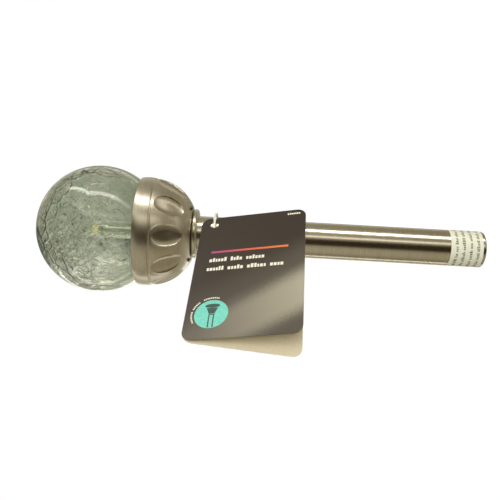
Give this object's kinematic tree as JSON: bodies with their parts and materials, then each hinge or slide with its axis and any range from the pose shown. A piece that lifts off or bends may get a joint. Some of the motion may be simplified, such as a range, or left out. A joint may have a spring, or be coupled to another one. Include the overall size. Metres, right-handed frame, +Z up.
{
  "type": "solar garden light",
  "caption": "Solar garden light with a crackled glass globe on a dimpled steel cup, a tubular stem with a stowed ground stake, and a folded hang tag.",
  "frame": {"origin": "centre of the mouth of the bore in the stem's foot, which is the lowest point of the part at rest", "axes": "+Z up along the stem towards the globe; the hang tag points to -X and -Y"},
  "size_m": [0.1136, 0.1424, 0.3117],
  "materials": {
    "steel": "brushed",
    "ferrule": "matte",
    "label_paper": "satin",
    "black_plastic": "matte",
    "polished_steel": "polished",
    "board_green": "satin",
    "silicon": "gloss",
    "clear_resin": "clear",
    "phosphor": "gloss",
    "white_plastic": "satin",
    "component_black": "satin",
    "battery_sleeve": "gloss",
    "contact_brass": "satin",
    "spring_steel": "satin",
    "lead_red": "satin",
    "gasket_rubber": "matte",
    "crackle_glass": "crackled",
    "grey_plastic": "matte",
    "nylon": "satin",
    "card_brown": "gloss",
    "card_cream": "satin"
  },
  "bodies": {
    "stem": {"stem_tube": "steel", "foot_ferrule": "ferrule", "label": "label_paper"},
    "stake": {"ground_stake": "black_plastic"},
    "head": {"cup": "steel", "collar_ring": "polished_steel", "pod_housing": "black_plastic", "deck": "black_plastic", "solar_board": "board_green", "solar_cells": "silicon", "panel_cover": "clear_resin", "led": "phosphor", "led_lens": "clear_resin", "led_stalk": "clear_resin", "circuit_board": "board_green", "board_components": "component_black", "battery": "battery_sleeve", "battery_contact": "contact_brass", "lead_wires": "lead_red", "side_screws": "spring_steel", "deck_screws": "spring_steel", "switch_body": "black_plastic"},
    "battery_plug": {"battery_cap": "black_plastic", "battery_spring": "spring_steel"},
    "switch_knob": {"switch_slider": "white_plastic"},
    "seal_ring": {"globe_gasket": "gasket_rubber"},
    "glass": {"globe": "crackle_glass", "globe_collar": "grey_plastic"},
    "loop": {"tag_loop": "nylon"},
    "leaf_front": {"tag_front_leaf": "card_brown"},
    "leaf_back": {"tag_back_leaf": "card_cream"}
  },
  "joints": [
    {"name": "stake_slide", "type": "slide", "parent": "stem", "child": "stake", "axis": [0, 0, -1], "range_m": [0, 0.144]},
    {"name": "head_lift", "type": "slide", "parent": "stem", "child": "head", "axis": [0, 0, 1], "range_m": [0, 0.05]},
    {"name": "battery_plug_turn", "type": "hinge", "parent": "head", "child": "battery_plug", "pos_m": [0, 0, 0.172], "axis": [0, 0, 1], "range_deg": [0, 60]},
    {"name": "switch_slide", "type": "slide", "parent": "head", "child": "switch_knob", "axis": [1, 0, 0], "range_m": [0, 0.0037]},
    {"name": "globe_twist", "type": "hinge", "parent": "head", "child": "seal_ring", "pos_m": [0, 0, 0.23], "axis": [0, 0, 1], "range_deg": [0, 30]},
    {"name": "globe_lift", "type": "slide", "parent": "seal_ring", "child": "glass", "axis": [0, 0, 1], "range_m": [0, 0.09]},
    {"name": "loop_turn", "type": "hinge", "parent": "stem", "child": "loop", "pos_m": [0, 0, 0.1872], "axis": [0, 0, 1], "continuous": true},
    {"name": "tag_swing", "type": "hinge", "parent": "loop", "child": "leaf_front", "pos_m": [0.00625, -0.02127, 0.18715], "axis": [0.9594, 0.282, 0], "range_deg": [-10, 8]},
    {"name": "tag_fold", "type": "hinge", "parent": "leaf_front", "child": "leaf_back", "pos_m": [0.00929, -0.01428, 0.19531], "axis": [-0.7234, -0.6893, 0.0388], "range_deg": [-14, 14]}
  ]
}
